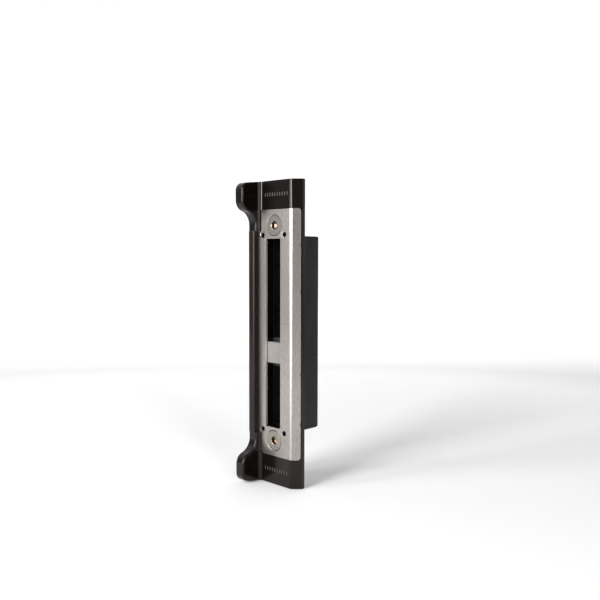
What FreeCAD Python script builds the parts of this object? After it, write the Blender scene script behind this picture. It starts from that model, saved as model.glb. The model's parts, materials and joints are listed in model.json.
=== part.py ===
"""Surface-mounted electric door strike for a square gate post, in millimetres.

Frame: +Z up, the front faces -Y, the post's face is the plane Y = 0 and the post lies on its +Y side.
The origin is midway between the two mounting screws, on the post's face.
Depths called "height" are measured outwards from the post's face, towards -Y.
"""
import FreeCAD, Part
import math
import os

# ---- driving dimensions -------------------------------------------------------------------------
post_face = 40.0            # width of the post that the strike is made for
body_half = 84.4            # half of the overall length
plate_half = 68.5           # half of the plate's length
face_height = 6.4           # front face above the post
plate_t = 1.5
screw_z = 59.9              # mounting screws, above and below the origin
lip_line = 13.25            # X where the front plane and the 45 degree lip would meet
bend_r = 3.2                # outside radius of the rolled bend
lip_end_height = 2.6
foot_height = 1.9           # where the black foot beside the lip ends
foot_x = 17.6

lobe_out_x = -17.4          # outer side of lobes and rail
lobe_in_x = -11.1
lobe_height = 19.5
lobe_top_drop = 0.9         # how far the lobe's top falls towards its tip
lobe_tip_r = 4.6
lobe_belly_r = 6.0
lobe_throat_r = 8.0
lobe_belly_z = 73.6
throat_height = 9.5
root_r = 2.3                # hollow at the lobe's root
lobe_foot_z = 57.0          # where a lobe ends and the rail begins

rail_in_x = -12.45
rail_height = 9.75
plate_left_mid = -12.4      # plate's far edge between the lobes
plate_left_end = -10.05     # and beside them

slot_w = 11.8
slot_cx = -0.8              # middle of the slot and of everything behind it
slot_half = 52.6
window_w = 12.6
block_z = (-16.75, -4.95)
peg_hole_r = 1.5
peg_hole_x = (-8.9, 8.2)
peg_hole_z = 54.6
nick_z = (48.9, 23.1, -21.5, -48.7)
nick_w = 1.1
nick_d = 0.35

screw_r = 3.0
head_r = 5.9
hex_af = 4.0
screw_reach = 14.0          # shank behind the post's face

case_w = 25.0
case_half = 54.0
case_depth = 17.0
wall = 1.2
cheek_out = 7.5             # outer side of the pocket's cheeks, from the slot's middle

travel = 11.4               # ejector and cam bar
ejector_rest = 5.0          # ejector's face behind the post's plane
ejector_w = 10.8
ejector_z = (3.0, 48.0)
pin_r = 1.0
pin_depth = 13.4
pin_z = (12.0, 38.5)
slot_play = 0.1

motor_z = -11.0
motor_y = 7.5
gear_module = 0.8
pinion_teeth = 12
pinion_addendum = 0.6
rack_addendum = 0.5
pressure_angle = math.radians(20)
backlash = 0.12
bar_x = (8.0, 10.8)         # cam bar and pinion, from the slot's middle
bar_y = (0.8, 15.2)

lever_y = 10.5
lever_z = -46.5
lever_reach = 6.5           # from the lever's axis to the switch button
fit_play = 0.05

cap_start = 66.0            # where a cap's body begins under the plate
cap_tongue = 7.0            # how far the frame's tongue reaches into a cap
tongue_x = (-6.0, 8.0)
tongue_height = (1.0, 3.6)
joint_gap = 0.05            # between parts that only touch in use
overlap = 0.1               # how far two shapes run into each other before they are fused

plate_corner_r = 1.6
slot_corner_r = 1.0
head_drop = 0.12            # screw head below the front face
head_gap = 0.16             # between the head's rim and the countersink
neck_r = 2.5                # bare neck between the head and the thread
socket_depth = 2.4
rail_rim_r = 1.0
rim_r = 1.0
block_bevel = 0.45
block_inset = 0.75          # from the window's left wall to the block
bridge_height = 1.8         # frame left standing under the block
block_screw_x = (-3.5, 3.5)
block_screw_r = 0.8

case_screw_x = (-6.9, 6.9)
case_screw_z = 56.4
case_screw_r = 1.1
ear_half = 2.3
ear_t = 2.2
ear_reach = 4.6
ear_corner_r = 1.2
boss_r = 1.6
boss_y = 9.0                # where the cover's screw bosses begin
cover_screw_x = (-4.0, 4.0)
cover_screw_z = 51.1
cover_screw_r = 0.9
bay_half = 5.4              # motor bay, above and below the motor's axis
divider = 2.6
clamp_x = 0.0
shaft_r = 1.5
can_x = (-9.9, 1.5)
gearbox_x = (1.5, 7.2)
finger_x = (-2.5, 2.5)
finger_length = 19.0
tail_x = (-9.9, -8.1)
switch_x = -9.0             # middle of the switch, from the slot's middle
button_half = 0.7
board_x = (-11.2, -10.2)
terminal_pitch = 2.9
terminal_first_x = -10.95


# ---- helpers ------------------------------------------------------------------------------------
def box(x0, x1, y0, y1, z0, z1):
    return Part.makeBox(x1 - x0, y1 - y0, z1 - z0, FreeCAD.Vector(x0, y0, z0))


def rod_x(r, x0, x1, y, z):
    return Part.makeCylinder(r, x1 - x0, FreeCAD.Vector(x0, y, z), FreeCAD.Vector(1, 0, 0))


def rod_y(r, x, z, y0, y1):
    return Part.makeCylinder(r, y1 - y0, FreeCAD.Vector(x, y0, z), FreeCAD.Vector(0, 1, 0))


def rod_z(r, x, y, z0, z1):
    return Part.makeCylinder(r, z1 - z0, FreeCAD.Vector(x, y, z0), FreeCAD.Vector(0, 0, 1))


def cone_y(r0, r1, x, z, y0, y1):
    return Part.makeCone(r0, r1, y1 - y0, FreeCAD.Vector(x, y0, z), FreeCAD.Vector(0, 1, 0))


def arc(centre, r, a0, a1, place):
    """Arc edge from angle a0 to a1 in degrees; place turns two numbers into a point."""
    ends = [math.radians(a) for a in (a0, 0.5 * (a0 + a1), a1)]
    pts = [place(centre[0] + r * math.cos(a), centre[1] + r * math.sin(a)) for a in ends]
    return Part.Arc(*pts).toShape()


def line(p, q, place):
    return Part.makeLine(place(*p), place(*q))


def polygon(points, place):
    pts = [place(*p) for p in points]
    return Part.Face(Part.makePolygon(pts + [pts[0]]))


def at_z(z):
    """Plan view: X and height above the post's face."""
    return lambda x, height: FreeCAD.Vector(x, -height, z)


def at_x(x):
    """Side view: height above the post's face and Z."""
    return lambda height, z: FreeCAD.Vector(x, -height, z)


def rounded_slot(x0, x1, z0, z1, r, y0, y1):
    body = box(x0, x1, y0, y1, z0, z1)
    upright = [e for e in body.Edges if abs(e.Vertexes[0].Y - e.Vertexes[-1].Y) > 0.5 * (y1 - y0)]
    return body.makeFillet(r, upright)


def hexagon_y(af, x, z, y0, y1):
    corner = af / math.sqrt(3)
    pts = []
    for k in range(6):
        a = math.radians(60 * k + 30)
        pts.append(FreeCAD.Vector(x + corner * math.cos(a), y0, z + corner * math.sin(a)))
    return Part.Face(Part.makePolygon(pts + [pts[0]])).extrude(FreeCAD.Vector(0, y1 - y0, 0))


def joined(shapes):
    body = shapes[0]
    for other in shapes[1:]:
        body = body.fuse(other)
    return body.removeSplitter()


def less(body, cuts):
    for cut in cuts:
        body = body.cut(cut)
    return body


def mirrored(shape):
    return shape.mirror(FreeCAD.Vector(0, 0, 0), FreeCAD.Vector(0, 0, 1))


def export(name, shape):
    shape.exportStep("parts/" + name + ".step")
    print(name, len(shape.Solids), round(shape.Volume, 1), shape.isValid())


# ---- the plate and what it covers ---------------------------------------------------------------
diag = math.sqrt(0.5)
bend_run = bend_r * math.tan(math.radians(22.5))
lip_sum = lip_line + face_height            # X plus height anywhere on the lip's outer face
plate_back = face_height - plate_t


def plate_section():
    """Section of the flat, the rolled bend and the 45 degree lip."""
    put = at_z(-plate_half)
    bend_x = lip_line - bend_run
    bend_c = (bend_x, face_height - bend_r)
    inner_r = bend_r - plate_t
    out_a = (bend_c[0] + bend_r * diag, bend_c[1] + bend_r * diag)
    in_a = (bend_c[0] + inner_r * diag, bend_c[1] + inner_r * diag)
    out_b = (lip_sum - lip_end_height, lip_end_height)
    in_b = (out_b[0] - plate_t * diag, out_b[1] - plate_t * diag)
    left = plate_left_mid
    edges = [
        line((left, plate_back), (left, face_height), put),
        line((left, face_height), (bend_x, face_height), put),
        arc(bend_c, bend_r, 90, 45, put),
        line(out_a, out_b, put),
        line(out_b, in_b, put),
        line(in_b, in_a, put),
        arc(bend_c, inner_r, 45, 90, put),
        line((bend_x, plate_back), (left, plate_back), put),
    ]
    return Part.Face(Part.Wire(edges))


def is_corner(edge):
    """Edges through the plate's thickness at its four outer corners."""
    a, b = edge.Vertexes[0].Point, edge.Vertexes[-1].Point
    short = abs(edge.Length - plate_t) < 0.05
    return short and abs(a.z - b.z) < 0.01 and abs(abs(a.z) - plate_half) < 0.01


def face_plate():
    body = plate_section().extrude(FreeCAD.Vector(0, 0, 2 * plate_half))
    for side in (-1, 1):
        z0, z1 = sorted((side * lobe_foot_z, side * (plate_half + 1)))
        body = body.cut(box(plate_left_mid - 1, plate_left_end, -face_height - 1, 0, z0, z1))
    body = body.makeFillet(plate_corner_r, [e for e in body.Edges if is_corner(e)])
    half = slot_w / 2
    cuts = [rounded_slot(slot_cx - half, slot_cx + half, -slot_half, slot_half, slot_corner_r,
                         -face_height - 1, 0)]
    for side in (-1, 1):
        cuts.append(countersink(side * screw_z))
        for x in peg_hole_x:
            cuts.append(rod_y(peg_hole_r, x, side * peg_hole_z, -face_height - 1, 0))
    end_x = lip_sum - lip_end_height
    for z in nick_z:
        cuts.append(box(end_x - nick_d, end_x + 2, -lip_end_height - nick_d, 0,
                        z - nick_w / 2, z + nick_w / 2))
    return less(body, cuts)


def countersink(z):
    """Clearance for a countersunk screw, open to the front and the back."""
    low = -face_height
    mouth = head_r + head_gap
    throat = screw_r + 0.2
    cone = cone_y(mouth, throat, 0, z, low, low + mouth - throat)
    front = rod_y(mouth, 0, z, low - 2, low)
    return cone.fuse(front).fuse(rod_y(throat, 0, z, low, 2))


def base_frame():
    """Black frame under the plate, with the long window and the foot beside the lip."""
    put = at_z(-cap_start)
    lip_x = lip_sum - lip_end_height
    under = (lip_x - plate_t * diag, lip_end_height - plate_t * diag)
    edge = lip_sum - foot_height
    bend_x = lip_line - bend_run
    inner_r = bend_r - plate_t
    turned = (bend_x + inner_r * diag, face_height - bend_r + inner_r * diag)
    outline = [
        (rail_in_x, 0), (rail_in_x, plate_back), (bend_x, plate_back), turned, under,
        (lip_x + joint_gap, lip_end_height - joint_gap), (edge, foot_height), (foot_x, 0),
    ]
    body = polygon(outline, put).extrude(FreeCAD.Vector(0, 0, 2 * cap_start))
    half = window_w / 2
    cuts = []
    for z0, z1 in ((-slot_half, block_z[0] + 0.25), (block_z[1] - 0.25, slot_half)):
        cuts.append(box(slot_cx - half, slot_cx + half, -face_height, 1, z0, z1))
    cuts.append(box(slot_cx - half, slot_cx + half, -face_height, -bridge_height,
                    block_z[0] - 1, block_z[1] + 1))
    for side in (-1, 1):
        z0, z1 = sorted((side * (lobe_foot_z - joint_gap), side * (cap_start + 1)))
        cuts.append(box(rail_in_x - 1, plate_left_end - overlap + joint_gap, -face_height, 1, z0, z1))
        cuts.append(countersink(side * screw_z))
        for x in peg_hole_x:
            cuts.append(rod_y(peg_hole_r, x, side * peg_hole_z, -face_height, -3.0))
        for x in case_screw_x:
            cuts.append(rod_y(case_screw_r, slot_cx + x, side * case_screw_z, -2.6, 1))
    for x in block_screw_x:
        cuts.append(rod_y(1.3, slot_cx + x, motor_z, -2, 1))
    body = less(body, cuts)
    for side in (-1, 1):
        z0, z1 = sorted((side * (cap_start - 1), side * (cap_start + cap_tongue)))
        body = body.fuse(box(*tongue_x, -tongue_height[1], -tongue_height[0], z0, z1))
    return body.removeSplitter()


def lobe_side(x):
    """Side outline of a cap and its stop lobe."""
    put = at_x(x)
    tip = lobe_height
    belly_c = (tip - lobe_belly_r, lobe_belly_z)
    top_z = body_half - lobe_top_drop
    tip_c = (tip - lobe_tip_r, top_z - lobe_tip_r)
    # the belly and the throat are two arcs that meet on the line through their centres
    across = throat_height + lobe_throat_r - belly_c[0]
    turn = math.degrees(math.acos(across / (lobe_belly_r + lobe_throat_r)))
    throat_c = (throat_height + lobe_throat_r,
                belly_c[1] - math.sin(math.radians(turn)) * (lobe_belly_r + lobe_throat_r))
    edges = [
        line((0, lobe_foot_z), (0, body_half), put),
        line((0, body_half), (face_height, body_half), put),
        line((face_height, body_half), (tip_c[0], top_z), put),
        arc(tip_c, lobe_tip_r, 90, 0, put),
        line((tip, tip_c[1]), (tip, belly_c[1]), put),
        arc(belly_c, lobe_belly_r, 0, -turn, put),
        arc(throat_c, lobe_throat_r, 180 - turn, 180, put),
        line((throat_height, throat_c[1]), (throat_height, lobe_foot_z), put),
        line((throat_height, lobe_foot_z), (0, lobe_foot_z), put),
    ]
    return Part.Face(Part.Wire(edges))


def cap_plan(z):
    """Plan outline of a cap: lobe, hollow at its root, front face, bend and lip."""
    put = at_z(z)
    bend_x = lip_line - bend_run
    bend_c = (bend_x, face_height - bend_r)
    out_a = (bend_c[0] + bend_r * diag, bend_c[1] + bend_r * diag)
    foot = (lip_sum - foot_height, foot_height)
    root_c = (lobe_in_x + root_r, face_height + root_r)
    reach = lobe_height + 1
    edges = [
        line((lobe_out_x, 0), (lobe_out_x, reach), put),
        line((lobe_out_x, reach), (lobe_in_x, reach), put),
        line((lobe_in_x, reach), (lobe_in_x, root_c[1]), put),
        arc(root_c, root_r, 180, 270, put),
        line((root_c[0], face_height), (bend_x, face_height), put),
        arc(bend_c, bend_r, 90, 45, put),
        line(out_a, foot, put),
        line(foot, (foot_x, 0), put),
        line((foot_x, 0), (lobe_out_x, 0), put),
    ]
    return Part.Face(Part.Wire(edges))


def upper_cap():
    length = body_half - lobe_foot_z
    plan = cap_plan(lobe_foot_z).extrude(FreeCAD.Vector(0, 0, length))
    side = lobe_side(lobe_out_x - 1).extrude(FreeCAD.Vector(post_face, 0, 0))
    body = plan.common(side)
    body = body.makeFillet(rim_r, [e for e in body.Edges if is_soft(e)])
    recess = plate_section().extrude(FreeCAD.Vector(0, 0, plate_half * 2 + joint_gap))
    recess = recess.common(box(plate_left_end - overlap, post_face, -face_height - 1, 0, 0, body_half))
    under = box(plate_left_end - overlap, post_face, -face_height - 1, 1, lobe_foot_z - 1, cap_start)
    front = box(plate_left_end - overlap, lip_line, -face_height - 1, -face_height + 0.05,
                lobe_foot_z - 1, plate_half + joint_gap)
    socket = box(tongue_x[0] - joint_gap, tongue_x[1] + joint_gap,
                 -tongue_height[1] - joint_gap, -tongue_height[0] + joint_gap,
                 cap_start - 1, cap_start + cap_tongue + joint_gap)
    foot_r = lobe_in_x - rail_in_x
    corner = box(lobe_in_x - foot_r, lobe_in_x + joint_gap, -lobe_height, -face_height - root_r,
                 lobe_foot_z - 1, lobe_foot_z + foot_r)
    corner = corner.cut(rod_y(foot_r, lobe_in_x - foot_r, lobe_foot_z + foot_r, -lobe_height, 0))
    return less(body, [recess, under, front, socket, corner])


def is_soft(edge):
    """The two long rims of the lobe, from its foot to where its top begins."""
    span = edge.BoundBox
    forward = -span.YMax > throat_height - 0.3
    return forward and lobe_foot_z + 0.1 < span.ZMax < body_half - lobe_top_drop + 0.1


def stop_rail():
    length = 2 * lobe_foot_z - 2 * joint_gap
    body = box(lobe_out_x, rail_in_x - joint_gap, -rail_height, 0, -length / 2, length / 2)
    rim = [e for e in body.Edges if e.BoundBox.ZLength > length - 1 and e.BoundBox.YMin < -1]
    return body.makeFillet(rail_rim_r, rim)


def bridge_block():
    x0 = slot_cx - window_w / 2 + block_inset
    x1 = slot_cx + window_w / 2
    body = box(x0, x1, -plate_back, -bridge_height, block_z[0], block_z[1])
    front = [e for e in body.Edges if e.BoundBox.XLength > 5 and e.BoundBox.YMin < -plate_back + 0.1]
    body = body.makeChamfer(block_bevel, front)
    return less(body, [rod_y(block_screw_r, slot_cx + x, motor_z, -4.2, 0) for x in block_screw_x])


def block_screws():
    screws = []
    for x in block_screw_x:
        shank = rod_y(block_screw_r, slot_cx + x, motor_z, -4.0, 0)
        head = rod_y(1.25, slot_cx + x, motor_z, -0.9, 0)
        screws.append(joined([shank, head]))
    return Part.makeCompound(screws)


def mounting_screws():
    screws = []
    low = -face_height + head_drop
    for side in (-1, 1):
        z = side * screw_z
        head = cone_y(head_r, screw_r, 0, z, low, low + head_r - screw_r)
        neck = rod_y(neck_r, 0, z, low + 1, 1)
        shank = rod_y(screw_r, 0, z, 0, screw_reach)
        tip = [e for e in shank.Edges if e.BoundBox.YMin > screw_reach - 0.1]
        body = joined([head, neck, shank.makeChamfer(0.6, tip)])
        screws.append(body.cut(hexagon_y(hex_af, 0, z, low - 1, low + socket_depth)))
    return Part.makeCompound(screws)


# ---- housing behind the post's face -------------------------------------------------------------
inner_half = case_w / 2 - wall
cover_y = case_depth - wall


def ear(x, side):
    """Screw ear on the end of the case, rounded at its two free corners."""
    low, high = sorted((side * (case_half - overlap), side * (case_half + ear_reach)))
    body = box(x - ear_half, x + ear_half, 0, ear_t, low, high)
    upright = [e for e in body.Edges if e.BoundBox.YLength > ear_t - 0.1]
    free = [e for e in upright if abs(e.BoundBox.ZMin) > case_half + 1]
    return body.makeFillet(ear_corner_r, free)


def rear_case():
    """Open tub with two cheeks that make the pocket, two dividers and four ears."""
    x0, x1 = slot_cx - case_w / 2, slot_cx + case_w / 2
    tub = box(x0, x1, 0, cover_y, -case_half, case_half)
    tub = tub.cut(box(x0 + wall, x1 - wall, -1, case_depth, -case_half + wall, case_half - wall))
    pieces = [tub]
    inside = case_half - wall
    for side in (-1, 1):
        a, b = sorted((side * window_w / 2, side * cheek_out))
        pieces.append(box(slot_cx + a, slot_cx + b, 0, cover_y, -inside - overlap, inside + overlap))
        z0, z1 = sorted((motor_z + side * bay_half, motor_z + side * (bay_half + divider)))
        pieces.append(box(slot_cx - cheek_out, slot_cx + cheek_out, 0, cover_y - 2.4, z0, z1))
        for x in case_screw_x:
            pieces.append(ear(slot_cx + x, side))
        for x in cover_screw_x:
            low, high = sorted((side * cover_screw_z, side * (inside + overlap)))
            pieces.append(rod_y(boss_r, slot_cx + x, side * cover_screw_z, boss_y, cover_y))
            pieces.append(box(slot_cx + x - boss_r, slot_cx + x + boss_r, boss_y, cover_y, low, high))
    body = joined(pieces)
    cuts = [box(x0 + wall, x1 - wall, 0.8, cover_y + 1, motor_z - bay_half, motor_z + bay_half)]
    cuts.append(rod_x(1.55, slot_cx + inner_half - 1, slot_cx + inner_half + 0.8, motor_y, motor_z))
    for z in pin_z:
        r = pin_r + slot_play
        blind = slot_cx - cheek_out + 0.4
        cuts.append(box(blind, x1 - wall, pin_depth - travel, pin_depth, z - r, z + r))
        cuts.append(rod_x(r, blind, x1 - wall, pin_depth - travel, z))
        cuts.append(rod_x(r, blind, x1 - wall, pin_depth, z))
    cuts.append(rod_x(pin_r + fit_play, x0 + wall, x1 - wall, lever_y, lever_z))
    for side in (-1, 1):
        for x in case_screw_x:
            cuts.append(rod_y(1.3, slot_cx + x, side * case_screw_z, -1, 4))
        for x in cover_screw_x:
            cuts.append(rod_y(cover_screw_r, slot_cx + x, side * cover_screw_z,
                              cover_y - 4.5, cover_y + 1))
    for z in clamp_screw_z:
        cuts.append(rod_y(cover_screw_r, slot_cx + clamp_x, z, cover_y - 6, cover_y))
    return less(body, cuts)


clamp_screw_z = (motor_z - bay_half - divider / 2, motor_z + bay_half + divider / 2)


def case_cover():
    x0, x1 = slot_cx - case_w / 2, slot_cx + case_w / 2
    body = box(x0, x1, cover_y, case_depth, -case_half, case_half)
    upright = [e for e in body.Edges if e.BoundBox.YLength > wall - 0.1]
    body = body.makeFillet(1.0, upright)
    cuts = []
    for side in (-1, 1):
        for x in cover_screw_x:
            cuts.append(rod_y(1.1, slot_cx + x, side * cover_screw_z, cover_y - 1, case_depth + 1))
    return less(body, cuts)


def pan_screw(x, z, seat, reach, shank_r, top_r, top_h):
    """Small screw driven from the back: its head stands behind the seat, towards +Y."""
    body = rod_y(shank_r, x, z, seat - reach, seat).fuse(rod_y(top_r, x, z, seat, seat + top_h))
    body = body.removeSplitter()
    rim = [e for e in body.Edges if e.BoundBox.YMin > seat + top_h - 0.01]
    body = body.makeFillet(0.25, rim)
    half = 0.7 * top_r
    for turn in (0, 90):
        slot = box(x - half, x + half, seat + 0.5 * top_h, seat + top_h + 1, z - 0.2, z + 0.2)
        slot.rotate(FreeCAD.Vector(x, 0, z), FreeCAD.Vector(0, 1, 0), turn)
        body = body.cut(slot)
    return body


def cover_screws():
    screws = []
    for side in (-1, 1):
        for x in cover_screw_x:
            screws.append(pan_screw(slot_cx + x, side * cover_screw_z, case_depth, 5.0,
                                    cover_screw_r, 1.8, 1.0))
    return Part.makeCompound(screws)


def case_screws():
    screws = []
    for side in (-1, 1):
        for x in case_screw_x:
            screws.append(pan_screw(slot_cx + x, side * case_screw_z, ear_t, 4.6,
                                    case_screw_r, 1.9, 1.2))
    return Part.makeCompound(screws)


# ---- ejector and its drive ----------------------------------------------------------------------
def latch_ejector():
    """Plate across the bottom of the latch pocket, with two webs that carry the pins."""
    half = ejector_w / 2
    x0, x1 = slot_cx - half, slot_cx + half
    front = box(x0, x1, ejector_rest, ejector_rest + 2.5, *ejector_z)
    across = [e for e in front.Edges if e.BoundBox.XLength > 5]
    rim = [e for e in across if e.BoundBox.YMax < ejector_rest + 0.1]
    pieces = [front.makeFillet(1.2, rim)]
    for side in (-1, 1):
        a, b = sorted((side * half, side * (half - 2.2)))
        for z in pin_z:
            pieces.append(box(slot_cx + a, slot_cx + b, ejector_rest + 2, bar_y[1], z - 3.5, z + 3.5))
    body = joined(pieces)
    return less(body, [rod_x(pin_r, x0 - 1, x1 + 1, pin_depth, z) for z in pin_z])


def ejector_pins():
    left = slot_cx - cheek_out + 0.6
    right = slot_cx + bar_x[1] - 0.1
    return Part.makeCompound([rod_x(pin_r, left, right, pin_depth, z) for z in pin_z])


def rack_teeth():
    """Stub rack on the bar's tail: a pinion tooth points into the space beside the motor's axis."""
    pitch = math.pi * gear_module
    line_y = motor_y + 0.5 * gear_module * pinion_teeth
    half = 0.25 * pitch - backlash / 2
    slope = math.tan(pressure_angle)
    root = line_y + pinion_addendum + 0.3
    tip = line_y - rack_addendum
    teeth = []
    for k in range(-2, 6):
        z = motor_z + (k + 0.5) * pitch
        wide = half + (root - line_y) * slope
        thin = half - rack_addendum * slope
        back = root + 0.5
        pts = [(back, wide), (root, wide), (tip, thin), (tip, -thin), (root, -wide), (back, -wide)]
        face = polygon([(-y, z + dz) for y, dz in pts], at_x(slot_cx + bar_x[0]))
        teeth.append(face.extrude(FreeCAD.Vector(bar_x[1] - bar_x[0], 0, 0)))
    return teeth, root


def cam_bar():
    x0, x1 = slot_cx + bar_x[0], slot_cx + bar_x[1]
    top = pin_z[1] + travel + pin_r + 1.2
    low = pin_z[0] - pin_r - 2.5
    teeth, root = rack_teeth()
    tail = motor_z - 2 * math.pi * gear_module
    blade = box(x0, x1, bar_y[0], bar_y[1], low, top)
    tongue = box(x0, x1, root, bar_y[1], tail, low + 1)
    body = joined([blade, tongue] + teeth)
    cuts = []
    r = pin_r + slot_play
    for z in pin_z:
        length = travel * math.sqrt(2)
        slot = box(x0 - 1, x1 + 1, pin_depth - length, pin_depth, z - r, z + r)
        for end in (pin_depth - length, pin_depth):
            slot = slot.fuse(rod_x(r, x0 - 1, x1 + 1, end, z))
        slot.rotate(FreeCAD.Vector(0, pin_depth, z), FreeCAD.Vector(1, 0, 0), -45)
        cuts.append(slot)
    return less(body, cuts)


def drive_pinion():
    """Involute pinion with one tooth pointing straight back at the rack."""
    r = 0.5 * gear_module * pinion_teeth
    base = r * math.cos(pressure_angle)
    outer = r + pinion_addendum
    root = r - rack_addendum - 0.3
    spread = math.tan(pressure_angle) - pressure_angle
    half = math.pi / (2 * pinion_teeth) - backlash / (2 * r) + spread
    steps = 6
    flank = [(root, half)]
    for k in range(steps + 1):
        rad = base + (outer - base) * k / steps
        roll = math.acos(min(1.0, base / rad))
        flank.append((rad, half - (math.tan(roll) - roll)))
    pts = []
    for tooth in range(pinion_teeth):
        a = 2 * math.pi * tooth / pinion_teeth
        for rad, off in flank:
            pts.append((rad, a - off))
        for rad, off in reversed(flank):
            pts.append((rad, a + off))
    outline = [(-(motor_y + rad * math.cos(a)), motor_z + rad * math.sin(a)) for rad, a in pts]
    face = polygon(outline, at_x(slot_cx + bar_x[0]))
    body = face.extrude(FreeCAD.Vector(bar_x[1] - bar_x[0], 0, 0))
    return body.cut(rod_x(shaft_r, slot_cx, slot_cx + case_w, motor_y, motor_z))


def motor_can():
    body = rod_x(6.0, slot_cx + can_x[0], slot_cx + can_x[1], motor_y, motor_z)
    flats = box(slot_cx + can_x[0], slot_cx + can_x[1], 0, 15, motor_z - 5, motor_z + 5)
    body = body.common(flats)
    return body.cut(rod_x(1.0, slot_cx + can_x[0] - 1, slot_cx + can_x[0] + 0.5, motor_y, motor_z))


def gearbox():
    x0, x1 = slot_cx + gearbox_x[0], slot_cx + gearbox_x[1]
    plates = [box(a, b, motor_y - 6, motor_y + 6, motor_z - 5, motor_z + 5)
              for a, b in ((x0, x0 + 0.8), (x1 - 0.8, x1))]
    core = rod_x(4.2, x0, x1, motor_y, motor_z)
    posts = []
    for y in (motor_y - 4.6, motor_y + 4.6):
        for z in (motor_z - 3.6, motor_z + 3.6):
            posts.append(rod_x(0.7, x0, x1, y, z))
    body = joined(plates + [core] + posts)
    return body.cut(rod_x(shaft_r + fit_play, x0 + 1.5, x1 + 1, motor_y, motor_z))


def motor_shaft():
    return rod_x(shaft_r, slot_cx + gearbox_x[0] + 2, slot_cx + inner_half + 0.5, motor_y, motor_z)


def motor_clamp():
    back = motor_y + 6.0
    low, high = clamp_screw_z
    body = box(slot_cx - 3.5, slot_cx + 1.2, back, back + 1.0, low - 1.2, high + 1.2)
    for z in (low, high):
        body = body.cut(rod_y(cover_screw_r + 0.1, slot_cx + clamp_x, z, back - 1, back + 2))
    return body


def clamp_screws():
    seat = motor_y + 7.0
    return Part.makeCompound([pan_screw(slot_cx + clamp_x, z, seat, 4.0, cover_screw_r, 1.5, 0.8)
                              for z in clamp_screw_z])


# ---- bolt sensor --------------------------------------------------------------------------------
def sensor_arm(x0, x1, length):
    hub = rod_x(2.1, slot_cx + x0, slot_cx + x1, lever_y, lever_z)
    end = lever_z + length
    arm = box(slot_cx + x0, slot_cx + x1, lever_y - 1.2, lever_y + 0.6, lever_z, end)
    tip = [e for e in arm.Edges if e.BoundBox.XLength > 0.5 and e.BoundBox.ZMin > end - 0.1]
    body = joined([hub, arm.makeFillet(0.6, tip)])
    return body.cut(rod_x(pin_r, slot_cx + x0 - 1, slot_cx + x1 + 1, lever_y, lever_z))


def sensor_finger():
    return sensor_arm(*finger_x, finger_length)


def sensor_tail():
    return sensor_arm(*tail_x, lever_reach + 1.5)


def sensor_shaft():
    return rod_x(pin_r, slot_cx + tail_x[0], slot_cx + cheek_out + 0.4, lever_y, lever_z)


button_y = lever_y + 0.6 + 0.15
switch_front = button_y + 1.1


def micro_switch():
    z = lever_z + lever_reach
    x = slot_cx + switch_x
    body = box(x - 1.2, x + 1.3, switch_front, cover_y - 0.2, z - 4.2, z + 4.2)
    gap = button_half + 0.1
    bore = box(x - gap, x + gap, switch_front - 1, switch_front + 2.2, z - gap, z + gap)
    return body.cut(bore)


def switch_button():
    x = slot_cx + switch_x
    z = lever_z + lever_reach
    return box(x - button_half, x + button_half, button_y, switch_front + 1.0,
               z - button_half, z + button_half)


# ---- control board and wire inlet ---------------------------------------------------------------
def circuit_board():
    return box(slot_cx + board_x[0], slot_cx + board_x[1], 1.0, 15.2, -50.0, 50.0)


def board_parts():
    """Driver chip, relay and two capacitors on the board."""
    x = slot_cx + board_x[1]
    parts = [box(x, x + 1.6, 4.0, 10.0, 0.0, 5.5), box(x, x + 1.9, 3.0, 12.0, 18.0, 31.0)]
    for z in (43.0, 47.5):
        parts.append(box(x, x + 1.2, 5.0, 8.0, z - 1.0, z + 1.0))
    return Part.makeCompound(parts)




terminal_x = [terminal_first_x + k * terminal_pitch for k in range(3)]


def terminal_block():
    z_top = -case_half
    x0 = slot_cx + terminal_x[0] - 1.45
    body = box(x0, x0 + 3 * terminal_pitch, 4.4, 13.4, z_top - 7.0, z_top)
    rim = [e for e in body.Edges if e.BoundBox.XLength > 5 and e.BoundBox.ZMax < z_top - 6.9]
    body = body.makeChamfer(1.0, rim)
    for x in terminal_x:
        body = body.cut(rod_z(1.0, slot_cx + x, 7.6, z_top - 8, z_top - 2))
        body = body.cut(rod_y(1.1, slot_cx + x, z_top - 3.6, 10.6, 14))
    return body


def terminal_screws():
    z = -case_half - 3.6
    screws = []
    for x in terminal_x:
        screw = rod_y(1.1, slot_cx + x, z, 10.6, 12.2)
        screws.append(screw.cut(box(slot_cx + x - 2, slot_cx + x + 2, 11.7, 13, z - 0.2, z + 0.2)))
    return Part.makeCompound(screws)


os.makedirs("parts", exist_ok=True)
upper = upper_cap()
export("face_plate", face_plate())
export("base_frame", base_frame())
export("upper_cap", upper)
export("lower_cap", mirrored(upper))
export("stop_rail", stop_rail())
export("bridge_block", bridge_block())
export("block_screws", block_screws())
export("mounting_screws", mounting_screws())
export("rear_case", rear_case())
export("case_cover", case_cover())
export("cover_screws", cover_screws())
export("case_screws", case_screws())
export("latch_ejector", latch_ejector())
export("ejector_pins", ejector_pins())
export("cam_bar", cam_bar())
export("drive_pinion", drive_pinion())
export("motor_shaft", motor_shaft())
export("motor_can", motor_can())
export("gearbox", gearbox())
export("motor_clamp", motor_clamp())
export("clamp_screws", clamp_screws())
export("sensor_finger", sensor_finger())
export("sensor_tail", sensor_tail())
export("sensor_shaft", sensor_shaft())
export("micro_switch", micro_switch())
export("switch_button", switch_button())
export("circuit_board", circuit_board())
export("board_parts", board_parts())
export("terminal_block", terminal_block())
export("terminal_screws", terminal_screws())
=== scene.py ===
import json
import math

import bmesh
import bpy
from mathutils import Matrix, Vector


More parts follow.
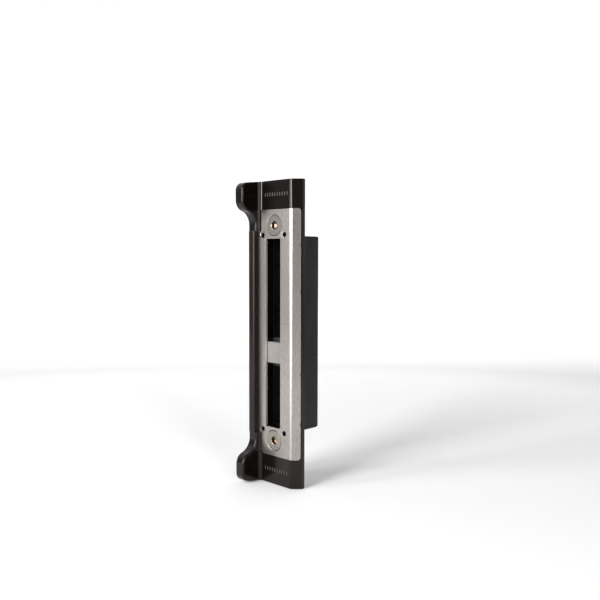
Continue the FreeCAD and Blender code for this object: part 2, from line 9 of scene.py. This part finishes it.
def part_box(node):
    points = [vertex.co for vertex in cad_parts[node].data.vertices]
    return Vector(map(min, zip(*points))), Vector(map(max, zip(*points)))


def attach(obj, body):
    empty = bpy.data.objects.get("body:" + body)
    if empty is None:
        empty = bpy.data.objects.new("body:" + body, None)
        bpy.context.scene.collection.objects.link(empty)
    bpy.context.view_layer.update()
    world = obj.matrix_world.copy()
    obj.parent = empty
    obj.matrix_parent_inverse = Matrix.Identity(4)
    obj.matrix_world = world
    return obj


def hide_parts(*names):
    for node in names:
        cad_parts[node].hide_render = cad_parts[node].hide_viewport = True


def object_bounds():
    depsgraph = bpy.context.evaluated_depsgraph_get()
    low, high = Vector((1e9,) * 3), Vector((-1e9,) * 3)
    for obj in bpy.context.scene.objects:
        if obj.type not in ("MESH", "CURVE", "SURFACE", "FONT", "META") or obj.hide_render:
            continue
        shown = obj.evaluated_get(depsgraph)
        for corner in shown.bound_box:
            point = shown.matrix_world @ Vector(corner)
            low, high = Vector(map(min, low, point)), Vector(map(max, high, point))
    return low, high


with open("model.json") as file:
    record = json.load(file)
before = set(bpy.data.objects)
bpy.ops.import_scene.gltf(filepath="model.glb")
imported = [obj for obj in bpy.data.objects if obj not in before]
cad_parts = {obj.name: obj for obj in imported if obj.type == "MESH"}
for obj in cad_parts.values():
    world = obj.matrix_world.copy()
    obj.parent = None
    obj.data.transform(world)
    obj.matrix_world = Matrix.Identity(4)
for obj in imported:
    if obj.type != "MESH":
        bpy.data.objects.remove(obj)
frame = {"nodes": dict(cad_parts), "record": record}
cad_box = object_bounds()
nodes = frame["nodes"]
scene = bpy.context.scene
MM = 0.001
screw_height = 0.0599       # of each mounting screw above and below the middle, in metres
socket_radius = 0.00235     # of a mounting screw's socket, with its rim


# ---- node helpers -------------------------------------------------------------------------------
class Look:
    """One procedural material: a Principled shader and short helpers for the nodes that feed it."""

    def __init__(self, name, **constants):
        self.mat = bpy.data.materials.new(name)
        self.mat.use_nodes = True
        self.tree = self.mat.node_tree
        self.shader = self.tree.nodes["Principled BSDF"]
        for key, value in constants.items():
            self.shader.inputs[key.replace("_", " ")].default_value = value

    def node(self, kind, **settings):
        made = self.tree.nodes.new(kind)
        for key, value in settings.items():
            setattr(made, key, value)
        return made

    def link(self, source, target):
        self.tree.links.new(source, target)

    def place(self, stretch=(1, 1, 1)):
        """The piece's own coordinates in metres, stretched along its axes."""
        coords = self.node("ShaderNodeTexCoord")
        mapping = self.node("ShaderNodeMapping")
        mapping.inputs["Scale"].default_value = stretch
        self.link(coords.outputs["Object"], mapping.inputs["Vector"])
        return mapping.outputs["Vector"]

    def noise(self, size, detail=3.0, rough=0.55, stretch=(1, 1, 1)):
        """Noise whose features are about size metres across."""
        made = self.node("ShaderNodeTexNoise")
        made.inputs["Scale"].default_value = 1.0 / size
        made.inputs["Detail"].default_value = detail
        made.inputs["Roughness"].default_value = rough
        self.link(self.place(stretch), made.inputs["Vector"])
        return made.outputs["Fac"]

    def spread(self, source, low, high, start=0.0, end=1.0):
        """Maps start..end of the source to low..high."""
        made = self.node("ShaderNodeMapRange")
        made.inputs["From Min"].default_value = start
        made.inputs["From Max"].default_value = end
        made.inputs["To Min"].default_value = low
        made.inputs["To Max"].default_value = high
        self.link(source, made.inputs["Value"])
        return made.outputs["Result"]

    def blend(self, share, first, second):
        """Colour between two colours or sockets: share 0 gives the first, 1 the second."""
        made = self.node("ShaderNodeMix", data_type="RGBA")
        self.link(share, made.inputs["Factor"])
        for socket, value in ((made.inputs[6], first), (made.inputs[7], second)):
            if isinstance(value, bpy.types.NodeSocket):
                self.link(value, socket)
            else:
                socket.default_value = (*value, 1)
        return made.outputs[2]

    def math(self, operation, first, second=0):
        """One arithmetic step on numbers or sockets."""
        made = self.node("ShaderNodeMath", operation=operation)
        for socket, value in zip(made.inputs, (first, second)):
            if isinstance(value, bpy.types.NodeSocket):
                self.link(value, socket)
            else:
                socket.default_value = value
        return made.outputs[0]

    def edges(self, radius, start=0.02, end=0.25):
        """1 near sharp edges and 0 on flat stretches."""
        soft = self.node("ShaderNodeBevel", samples=6)
        soft.inputs["Radius"].default_value = radius
        geometry = self.node("ShaderNodeNewGeometry")
        dot = self.node("ShaderNodeVectorMath", operation="DOT_PRODUCT")
        self.link(soft.outputs["Normal"], dot.inputs[0])
        self.link(geometry.outputs["True Normal"], dot.inputs[1])
        return self.spread(self.math("SUBTRACT", 1.0, dot.outputs["Value"]), 0.0, 1.0, start, end)

    def bump(self, height, strength, distance):
        made = self.node("ShaderNodeBump")
        made.inputs["Strength"].default_value = strength
        made.inputs["Distance"].default_value = distance
        self.link(height, made.inputs["Height"])
        self.link(made.outputs["Normal"], self.shader.inputs["Normal"])

    def color(self, source):
        self.link(source, self.shader.inputs["Base Color"])

    def rough(self, source):
        self.link(source, self.shader.inputs["Roughness"])


def brushed_metal(name, tint, shade, rough, grain=0.5, along=(1, 1, 0.45), edge=(0.85, 0.83, 0.8),
                  socket=None, cut_highlight=None):
    """Metal with fine lines along one axis, cloudy patches, and edges painted brighter as rubbed wear
    and as a painted highlight.

    socket is the colour painted within the mounting screws' sockets, a painted shade. The last
    argument is the x of the slot's sheared wall and the paler colour painted on it, a painted
    highlight; that wall is also made rougher.
    """
    line_size, cloud_size, fine_size, fine_depth = 0.0011, 0.007, 0.0005, 0.00003
    line_share, cloud_share = 0.65, 0.35
    wear_highlight_width, wear_highlight_share = 0.0004, 0.55
    look = Look(name, Metallic=1.0)
    lines = look.noise(line_size, 2, 0.6, along)
    cloud = look.noise(cloud_size, 4, 0.6, (1, 1, 0.5))
    mix = look.math("ADD", look.math("MULTIPLY", lines, line_share),
                    look.math("MULTIPLY", cloud, cloud_share))
    body = look.blend(look.spread(mix, 0, 1, 0.36, 0.64), shade, tint)
    # Edges painted paler: rubbed wear, and a painted highlight along every edge.
    wear_and_highlight = look.math("MULTIPLY", look.edges(wear_highlight_width), wear_highlight_share)
    body = look.blend(wear_and_highlight, body, edge)
    # Within each screw's socket the colour is painted darker and browner: painted shade in the recess.
    if socket:
        split = look.node("ShaderNodeSeparateXYZ")
        look.link(look.place(), split.inputs[0])
        up = look.math("SUBTRACT", look.math("ABSOLUTE", split.outputs["Z"]), screw_height)
        out = look.math("ADD", look.math("POWER", split.outputs["X"], 2), look.math("POWER", up, 2))
        socket_shade_mask = look.spread(look.math("SQRT", out), 1, 0, socket_radius * 0.95, socket_radius * 1.05)
        socket_shade_mask = look.math("MULTIPLY", socket_shade_mask, look.math("LESS_THAN", split.outputs["Y"], 0.0))
        body = look.blend(socket_shade_mask, body, socket)
    gloss = look.spread(mix, rough + 0.06, rough - 0.05, 0.3, 0.7)
    # The slot's wall facing +X is painted pale, a painted highlight, and made rougher as a sheared
    # edge.
    if cut_highlight:
        cut_x, cut_highlight_color = cut_highlight
        reach, fade, dulling = 0.0004, 0.0008, 0.25
        geometry = look.node("ShaderNodeNewGeometry")
        facing = look.node("ShaderNodeSeparateXYZ")
        look.link(geometry.outputs["True Normal"], facing.inputs[0])
        cut_highlight_mask = look.spread(facing.outputs["X"], 0, 1, 0.75, 0.95)
        across = look.node("ShaderNodeSeparateXYZ")
        look.link(look.place(), across.inputs[0])
        beside = look.math("ABSOLUTE", look.math("SUBTRACT", across.outputs["X"], cut_x))
        cut_highlight_mask = look.math("MULTIPLY", cut_highlight_mask, look.spread(beside, 1, 0, reach, fade))
        body = look.blend(cut_highlight_mask, body, cut_highlight_color)
        gloss = look.math("ADD", gloss, look.math("MULTIPLY", cut_highlight_mask, dulling))
    look.color(body)
    look.rough(gloss)
    look.bump(look.noise(fine_size, 3, 0.7, along), grain, fine_depth)
    return look.mat


def moulded_plastic(name, tint, shade, rough, edge, level=0.5, grain=0.00028, depth=0.00002):
    """Injection-moulded plastic: fine spark-eroded grain, faint flow marks, and polished edges painted
    paler, as wear and as a painted highlight.
    """
    flow_size = 0.012
    wear_highlight_width, wear_highlight_share, polish = 0.0005, 0.6, 0.12
    look = Look(name, Specular_IOR_Level=level, Specular_Tint=(1.0, 0.9, 0.85, 1.0))
    flow = look.noise(flow_size, 5, 0.6, (1, 1, 0.6))
    speck = look.noise(grain, 3, 0.6)
    body = look.blend(look.spread(flow, 0, 1, 0.35, 0.65), shade, tint)
    # Edges painted paler: rubbed wear, and a painted highlight along every edge.
    wear_and_highlight = look.math("MULTIPLY", look.edges(wear_highlight_width), wear_highlight_share)
    look.color(look.blend(wear_and_highlight, body, edge))
    grain_rough = look.spread(speck, rough - 0.06, rough + 0.08, 0.3, 0.7)
    look.rough(look.math("SUBTRACT", grain_rough, look.math("MULTIPLY", wear_and_highlight, polish)))
    look.bump(speck, 0.35, depth)
    return look.mat


def circuit_board_look():
    """Green solder mask over a grid of copper."""
    cell = 0.004
    look = Look("board_mask", Specular_IOR_Level=0.6)
    cells = look.node("ShaderNodeTexBrick", offset=0.5)
    cells.inputs["Scale"].default_value = 1.0 / cell
    cells.inputs["Color1"].default_value = (0.02, 0.12, 0.05, 1)
    cells.inputs["Color2"].default_value = (0.015, 0.09, 0.04, 1)
    cells.inputs["Mortar"].default_value = (0.04, 0.2, 0.09, 1)
    cells.inputs["Mortar Size"].default_value = 0.03
    look.link(look.place((0, 1, 1)), cells.inputs["Vector"])
    look.color(cells.outputs["Color"])
    look.rough(look.spread(look.noise(0.002), 0.3, 0.45))
    look.bump(cells.outputs["Fac"], 0.2, 0.00003)
    return look.mat


# ---- the object's materials ---------------------------------------------------------------------
block_gap = 0.00035     # between the bridge block and the slot's wall
slot_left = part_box("bridge_block")[0].x - block_gap
looks = {
    # The stainless gets a painted highlight on the slot's wall facing +X.
    "stainless": brushed_metal("stainless_brushed", (0.405, 0.372, 0.354), (0.315, 0.286, 0.271), 0.31,
                               cut_highlight=(slot_left, (0.85, 0.79, 0.73))),
    # The socket colour of the screws is painted shade in their sockets.
    "nickel_screw": brushed_metal("screw_nickel", (0.33, 0.308, 0.28), (0.25, 0.232, 0.21), 0.3, 0.2,
                                  (1, 1, 1), socket=(0.17, 0.125, 0.085)),
    "pale_block": moulded_plastic("block_matte", (0.175, 0.167, 0.157), (0.152, 0.144, 0.136), 0.6,
                                  (0.4, 0.38, 0.355), 0.2, 0.0004, 0.00003),
    "black_polyamide": moulded_plastic("polyamide_black", (0.0040, 0.0033, 0.0030),
                                       (0.0024, 0.0020, 0.0018), 0.17, (0.05, 0.044, 0.04), 0.32),
    "rail_polyamide": moulded_plastic("polyamide_rail", (0.009, 0.0062, 0.0055),
                                      (0.005, 0.0035, 0.003), 0.22, (0.05, 0.042, 0.039), 0.25),
    "small_screw": brushed_metal("screw_zinc", (0.62, 0.62, 0.6), (0.45, 0.45, 0.44), 0.32, 0.3,
                                 (1, 1, 1)),
    "case_plastic": moulded_plastic("case_black", (0.014, 0.014, 0.015), (0.009, 0.009, 0.010), 0.5,
                                    (0.05, 0.05, 0.052), 0.3, 0.0005, 0.00004),
    "dark_steel": brushed_metal("steel_black_oxide", (0.030, 0.028, 0.027), (0.018, 0.017, 0.016), 0.5,
                                0.4, (1, 1, 1), (0.12, 0.115, 0.11)),
    "bar_steel": brushed_metal("steel_ground", (0.55, 0.55, 0.55), (0.42, 0.42, 0.42), 0.3),
    "gear_brass": brushed_metal("brass_machined", (0.78, 0.57, 0.26), (0.6, 0.42, 0.17), 0.28, 0.3,
                                (1, 1, 1), (0.9, 0.75, 0.45)),
    "motor_nickel": brushed_metal("can_nickel", (0.66, 0.65, 0.62), (0.55, 0.54, 0.52), 0.22, 0.2,
                                  (0.1, 1, 1)),
    "switch_black": moulded_plastic("switch_body", (0.02, 0.02, 0.022), (0.012, 0.012, 0.013), 0.3,
                                    (0.08, 0.08, 0.08), 0.5),
    "switch_button": moulded_plastic("button_red", (0.45, 0.03, 0.02), (0.34, 0.02, 0.015), 0.3,
                                     (0.6, 0.1, 0.07), 0.5),
    "board_green": circuit_board_look(),
    "chip_black": moulded_plastic("chip_epoxy", (0.02, 0.02, 0.02), (0.012, 0.012, 0.012), 0.5,
                                  (0.06, 0.06, 0.06)),
    "terminal_green": moulded_plastic("terminal_body", (0.03, 0.2, 0.07), (0.02, 0.14, 0.05), 0.4,
                                      (0.1, 0.36, 0.18), 0.5),
}
slot_of = {entry["node"]: entry["material_slot"] for entry in frame["record"]["subparts"]}

# Width of each node's rounded edges, in millimetres.
edge_round = {"face_plate": 0.07, "upper_cap": 0.45, "lower_cap": 0.45, "stop_rail": 0.2,
              "bridge_block": 0.15, "base_frame": 0.2, "rear_case": 0.3, "case_cover": 0.3,
              "latch_ejector": 0.25, "cam_bar": 0.2}
other_edges = 0.1


def soften(obj, width):
    """Rounds a CAD piece's sharp edges by width millimetres, so that they catch the light."""
    weld = obj.modifiers.new("weld", "WELD")
    weld.merge_threshold = 0.002 * MM
    bevel = obj.modifiers.new("edge", "BEVEL")
    bevel.width = width * MM
    bevel.segments = 3
    bevel.limit_method = "ANGLE"
    bevel.angle_limit = math.radians(32)
    bevel.use_clamp_overlap = True
    bevel.harden_normals = True
    flat = obj.modifiers.new("normals", "WEIGHTED_NORMAL")
    flat.keep_sharp = True
    flat.weight = 100


for name, obj in nodes.items():
    obj.data.materials.clear()
    obj.data.materials.append(looks[slot_of[name]])
    for face in obj.data.polygons:
        face.use_smooth = True
    soften(obj, edge_round.get(name, other_edges))


# ---- pieces made here ---------------------------------------------------------------------------
def finished(name, mesh, material, body="housing"):
    """Turns a bmesh in millimetres into a piece that rides on a body."""
    bmesh.ops.scale(mesh, vec=(MM, MM, MM), verts=mesh.verts)
    bmesh.ops.recalc_face_normals(mesh, faces=mesh.faces)
    data = bpy.data.meshes.new(name)
    mesh.to_mesh(data)
    mesh.free()
    data.materials.append(material)
    obj = bpy.data.objects.new(name, data)
    scene.collection.objects.link(obj)
    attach(obj, body)
    return obj


def ring_loft(mesh, rings, segments, centre_x, centre_z):
    """Closed body about a line along Y. Each ring is (y, radius), and a radius may be a function."""
    loops = []
    for y, radius in rings:
        loop = []
        for k in range(segments):
            a = 2 * math.pi * k / segments
            r = radius(a) if callable(radius) else radius
            loop.append(mesh.verts.new((centre_x + r * math.cos(a), y, centre_z + r * math.sin(a))))
        loops.append(loop)
    for low, high in zip(loops, loops[1:]):
        for k in range(segments):
            mesh.faces.new((low[k], low[(k + 1) % segments], high[(k + 1) % segments], high[k]))
    mesh.faces.new(loops[0])
    mesh.faces.new(loops[-1])


# The mounting screws, in millimetres.
screw_box = [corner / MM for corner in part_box("mounting_screws")]
head_r = 0.5 * (screw_box[1].x - screw_box[0].x)
screw_z = screw_box[1].z - head_r
shank_r = 3.0
thread_pitch = 1.0
thread_depth = 0.6
hex_half = 2.0
socket_depth = 2.4
screw_segments = 48


def hexagon(angle):
    """Radius of the socket's hexagon, with a flat on each side of the vertical."""
    off = (angle + math.radians(30)) % math.radians(60) - math.radians(30)
    return hex_half / math.cos(off)


def thread_ring(y, depth):
    """Ring across a screw thread at y, whose groove turns with the angle."""
    def radius(angle):
        phase = (y / thread_pitch - angle / (2 * math.pi)) % 1.0
        return shank_r - depth * (1 - abs(2 * phase - 1))
    return y, radius


def screw_rings(front, tip):
    """Rings from the bottom of a countersunk screw's socket over its head and thread to its tip."""
    cone = front + head_r - shank_r
    neck = shank_r - 0.1
    socket = [(front + socket_depth + 0.7, 0.05), (front + socket_depth, lambda a: 0.92 * hexagon(a)),
              (front + socket_depth - 0.1, hexagon), (front + 0.2, hexagon),
              (front + 0.04, hex_half * 1.16)]
    head = [(front, hex_half * 1.2), (front, hex_half * 1.2 + 0.1), (front, head_r - 0.66),
            (front, head_r - 0.56), (front + 0.05, head_r - 0.5), (front + 0.45, head_r - 0.46)]
    rings = socket + head + [(cone, shank_r), (cone + 0.2, neck), (-0.3, neck)]
    per_turn, blunt = 8, 0.6
    steps = round((tip - blunt) * per_turn / thread_pitch)
    for k in range(steps + 1):
        y = k * thread_pitch / per_turn
        rings.append(thread_ring(y, thread_depth * min(1.0, k / per_turn)))
    rings.append((tip - 0.5, shank_r - thread_depth))
    rings.append((tip, shank_r - thread_depth - 0.4))
    return rings


def mounting_screws():
    """The two mounting screws with real threads and sockets, in place of the CAD's plain ones."""
    mesh = bmesh.new()
    for side in (-1, 1):
        rings = screw_rings(screw_box[0].y, screw_box[1].y)
        ring_loft(mesh, rings, screw_segments, 0, side * screw_z)
    obj = finished("mounting_screws_threaded", mesh, looks["nickel_screw"])
    for face in obj.data.polygons:
        face.use_smooth = True
    obj.data.set_sharp_from_angle(angle=math.radians(35))
    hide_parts("mounting_screws")


rib_look = moulded_plastic("polyamide_rubbed", (0.055, 0.05, 0.047), (0.03, 0.027, 0.025), 0.4,
                           (0.12, 0.11, 0.1), 0.5)


def cap_ribs(name, z):
    """A row of plain raised ribs on a cap's front face."""
    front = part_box("face_plate")[0].y / MM
    count, first, step = 10, -6.8, 1.9
    size, proud, rounding = Vector((0.55, 0.5, 2.0)), 0.13, 0.12
    mesh = bmesh.new()
    for k in range(count):
        x = first + k * step
        made = bmesh.ops.create_cube(mesh, size=1.0)["verts"]
        bmesh.ops.scale(mesh, vec=size, verts=made)
        bmesh.ops.translate(mesh, vec=(x, front + 0.5 * size.y - proud, z), verts=made)
    obj = finished(name, mesh, rib_look)
    bevel = obj.modifiers.new("edge", "BEVEL")
    bevel.width = rounding * MM
    bevel.segments = 3


mounting_screws()
cap_ribs("upper_cap_ribs", 76.8)
cap_ribs("lower_cap_ribs", -76.4)


# ---- camera -------------------------------------------------------------------------------------
camera_place = Vector((0.2836, -0.2787, 0.04095))
camera_yaw, camera_pitch, camera_roll = (math.radians(a) for a in (44.056, -3.228, 0.128))
camera = bpy.data.objects.new("camera", bpy.data.cameras.new("camera"))
camera.data.lens = 42.74
camera.data.sensor_width = 36.0
camera.data.clip_start = 0.01
camera.data.clip_end = 50
turn = Matrix.Rotation(camera_yaw, 4, "Z") @ Matrix.Rotation(math.pi / 2 + camera_pitch, 4, "X")
camera.matrix_world = Matrix.Translation(camera_place) @ turn @ Matrix.Rotation(camera_roll, 4, "Z")
scene.collection.objects.link(camera)
scene.camera = camera


# ---- stage and light ----------------------------------------------------------------------------
backdrop_turn = math.radians(44)    # the backdrop's middle, from +Y towards -X
floor_z = cad_box[0][2] - 0.3 * MM


def stage_look():
    """Pale paper towards the backdrop and grey on the other side, a painted shade, which glows from
    within, a painted light strongest towards the backdrop.
    """
    pale_from, pale_to = 0.0, 0.5
    glow_from, glow_to = 0.1, 0.8
    near_from, near_to = 0.4, 0.8
    look = Look("stage_pale", Roughness=0.9, Specular_IOR_Level=0.1)
    geometry = look.node("ShaderNodeNewGeometry")
    dot = look.node("ShaderNodeVectorMath", operation="DOT_PRODUCT")
    dot.inputs[1].default_value = (-math.sin(backdrop_turn), math.cos(backdrop_turn), 0)
    look.link(geometry.outputs["Position"], dot.inputs[0])
    ahead = look.spread(dot.outputs["Value"], 0, 1, pale_from, pale_to)
    glow = look.spread(dot.outputs["Value"], 0, 1, glow_from, glow_to)
    length = look.node("ShaderNodeVectorMath", operation="LENGTH")
    look.link(geometry.outputs["Position"], length.inputs[0])
    near = look.spread(length.outputs["Value"], 1, 0, near_from, near_to)
    # Near the middle the paper is kept pale: painted light.
    ahead = look.math("MAXIMUM", ahead, near)
    pale = look.blend(look.noise(0.4), (0.82, 0.82, 0.82), (0.85, 0.85, 0.85))
    # The grey on the far side is painted shade.
    look.color(look.blend(ahead, (0.24, 0.24, 0.24), pale))
    # The glow is painted light, strongest towards the backdrop.
    look.link(look.blend(glow, (0.06, 0.06, 0.06), (1, 1, 1)), look.shader.inputs["Emission Color"])
    look.shader.inputs["Emission Strength"].default_value = 0.48
    return look.mat


def stage_floor():
    """Round floor that curves up into a wall behind and around the object."""
    flat, bend, wall = 1.8, 0.8, 3.0
    bend_steps, segments = 8, 64
    profile = [(0.0001, 0), (0.5, 0), (1.2, 0), (flat, 0)]
    for k in range(1, bend_steps + 1):
        a = math.radians(90 * k / bend_steps)
        profile.append((flat + bend * math.sin(a), bend * (1 - math.cos(a))))
    profile.append((flat + bend, wall))
    mesh = bmesh.new()
    rings = []
    for radius, height in profile:
        ring = []
        for k in range(segments):
            a = 2 * math.pi * k / segments
            ring.append(mesh.verts.new((radius * math.cos(a), radius * math.sin(a), floor_z + height)))
        rings.append(ring)
    for low, high in zip(rings, rings[1:]):
        for k in range(segments):
            mesh.faces.new((low[k], low[(k + 1) % segments], high[(k + 1) % segments], high[k]))
    data = bpy.data.meshes.new("stage")
    mesh.to_mesh(data)
    mesh.free()
    for face in data.polygons:
        face.use_smooth = True
    obj = bpy.data.objects.new("stage", data)
    obj.data.materials.append(stage_look())
    scene.collection.objects.link(obj)


def softbox(name, angle, height, distance, size, power):
    """Area light aimed at the middle; angle is from straight in front of the plate, towards +X."""
    a = math.radians(angle)
    place = Vector((math.sin(a) * distance, -math.cos(a) * distance, height))
    data = bpy.data.lights.new(name, "AREA")
    data.shape = "RECTANGLE"
    data.size, data.size_y = size
    data.energy = power
    obj = bpy.data.objects.new(name, data)
    obj.location = place
    obj.rotation_euler = (-place).to_track_quat("-Z", "Y").to_euler()
    scene.collection.objects.link(obj)


stage_floor()
softbox("light_front", 2, 0.1, 1.0, (0.36, 1.2), 26.0)
softbox("light_fill", -26, 0.42, 1.05, (0.36, 0.95), 6.4)
softbox("light_left", -75, 0.3, 1.2, (0.5, 1.2), 0.8)
softbox("light_right", 70, 0.25, 1.3, (0.25, 1.0), 9.0)
softbox("light_back", 200, 0.9, 1.3, (1.2, 1.0), 3.0)
world = bpy.data.worlds.new("studio")
world.use_nodes = True
world.node_tree.nodes["Background"].inputs["Color"].default_value = (0.95, 0.97, 1.0, 1)
world.node_tree.nodes["Background"].inputs["Strength"].default_value = 0.2
scene.world = world
scene.view_settings.view_transform = "Standard"
